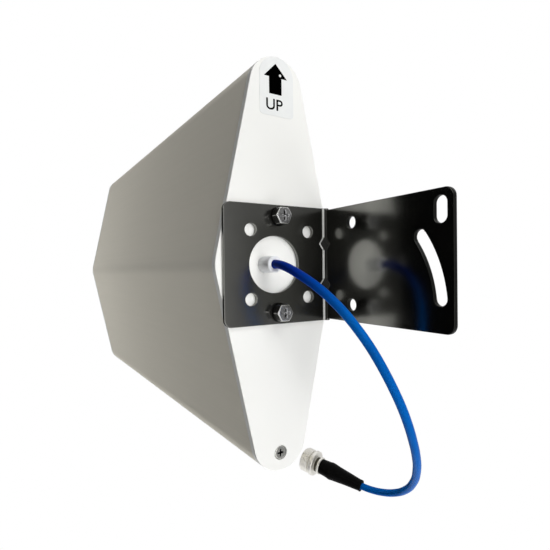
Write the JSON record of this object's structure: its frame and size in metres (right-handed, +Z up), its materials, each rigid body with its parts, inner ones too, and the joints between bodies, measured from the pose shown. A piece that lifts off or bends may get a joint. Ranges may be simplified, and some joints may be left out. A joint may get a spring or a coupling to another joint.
{
  "type": "log-periodic antenna",
  "caption": "White log-periodic antenna: a long lozenge-section radome with end caps, a polished bent mounting bracket on its rear cap, and a blue coax pigtail with a threaded jack.",
  "frame": {"origin": "midway between the two mast-leg holes, on the mast leg's outer face", "axes": "+X out of the mast leg's outer face, +Y from the rear cap to the front cap along the booms, +Z up"},
  "size_m": [0.1143, 0.428, 0.2506],
  "materials": {
    "radome_plastic": "satin white moulding",
    "cap_plastic": "satin gloss white moulding",
    "zinc_screws": "bright zinc plate",
    "boom_aluminium": "mill finish",
    "rod_aluminium": "drawn rod",
    "spacer_plastic": "natural moulding",
    "cable_jacket": "glossy blue jacket",
    "feed_copper": "silvered copper wire",
    "insulator_plastic": "smooth white",
    "insert_brass": "turned brass",
    "polished_steel": "mirror polished stainless sheet",
    "sleeve_plastic": "satin white",
    "shrink_sleeve": "black heat-shrink sleeve with a soft sheen",
    "nickel_plate": "bright nickel plate",
    "contact_gold": "gold plate",
    "label_film": "printed white film"
  },
  "bodies": {
    "root": {"radome": "radome_plastic", "back_cap": "cap_plastic", "front_cap": "cap_plastic", "back_cap_screws": "zinc_screws", "front_cap_screws": "zinc_screws", "left_boom": "boom_aluminium", "right_boom": "boom_aluminium", "left_elements": "rod_aluminium", "right_elements": "rod_aluminium", "boom_spacers": "spacer_plastic", "shorting_strap": "boom_aluminium", "strap_screws": "zinc_screws", "feed_coax": "cable_jacket", "feed_wire": "feed_copper", "feed_bush": "insulator_plastic", "threaded_inserts": "insert_brass", "bracket": "polished_steel", "bracket_flat_washers": "zinc_screws", "bracket_lock_washers": "zinc_screws", "bracket_bolts": "zinc_screws", "cable_sleeve": "sleeve_plastic", "coax_cable": "cable_jacket", "heat_shrink_boot": "shrink_sleeve", "crimp_ferrule": "nickel_plate", "connector_body": "nickel_plate", "connector_insulator": "insulator_plastic", "connector_contact": "contact_gold", "up_label": "label_film"}
  },
  "joints": []
}
